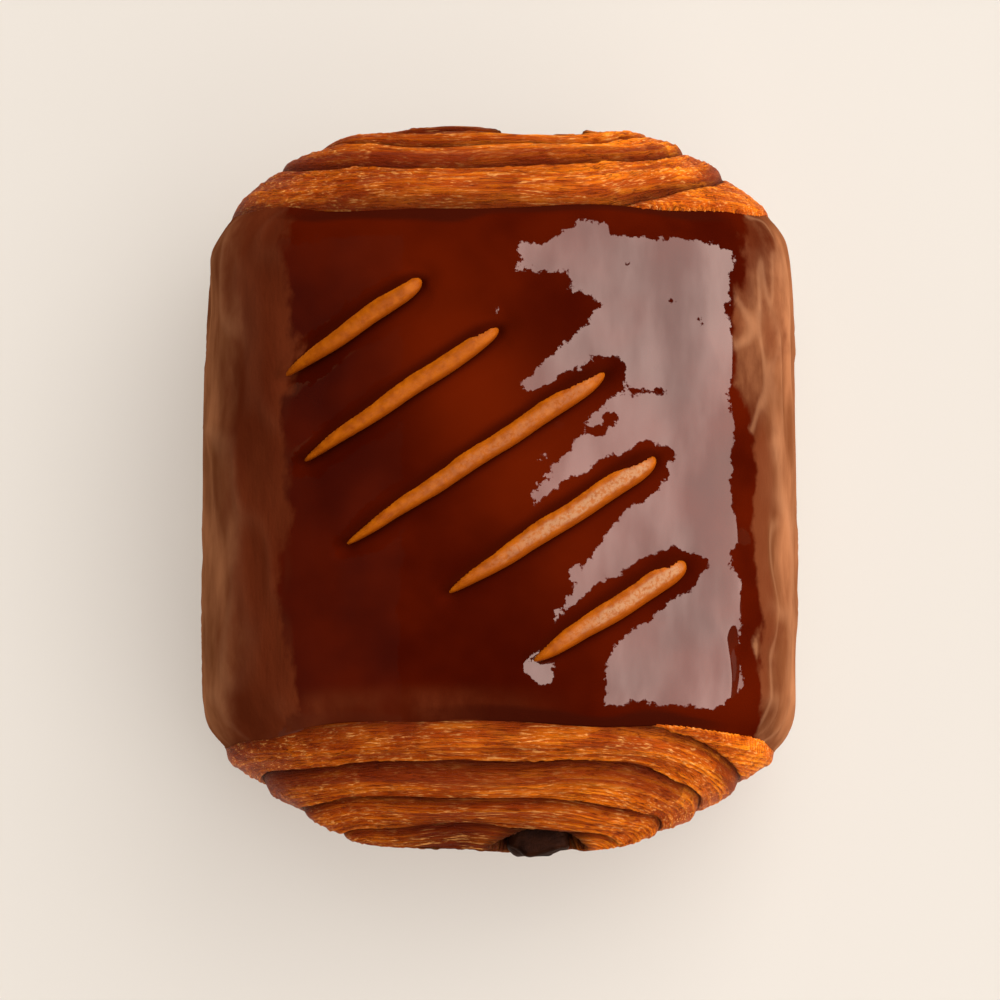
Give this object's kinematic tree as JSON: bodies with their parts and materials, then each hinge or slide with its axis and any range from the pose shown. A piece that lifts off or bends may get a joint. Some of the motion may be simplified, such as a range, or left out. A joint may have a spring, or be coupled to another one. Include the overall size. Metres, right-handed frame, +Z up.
{
  "type": "pain au chocolat",
  "caption": "Baked roll of laminated dough on a flat base, with slanting cuts in its glazed top, stepped spiral ends and a bar of chocolate that shows at one end.",
  "frame": {"origin": "under the middle of the whole, on the flat base it rests on", "axes": "+Y along the roll away from the end whose bar of chocolate stands out, +X across it, +Z up"},
  "size_m": [0.0862, 0.1064, 0.0485],
  "materials": {
    "baked_dough": "glossy brown glaze on the rolled outside, dry golden flakes on the ends and in the cuts",
    "chocolate": "dull dark chocolate"
  },
  "bodies": {
    "root": {"pastry": "baked_dough", "chocolate_bar": "chocolate"}
  },
  "joints": []
}
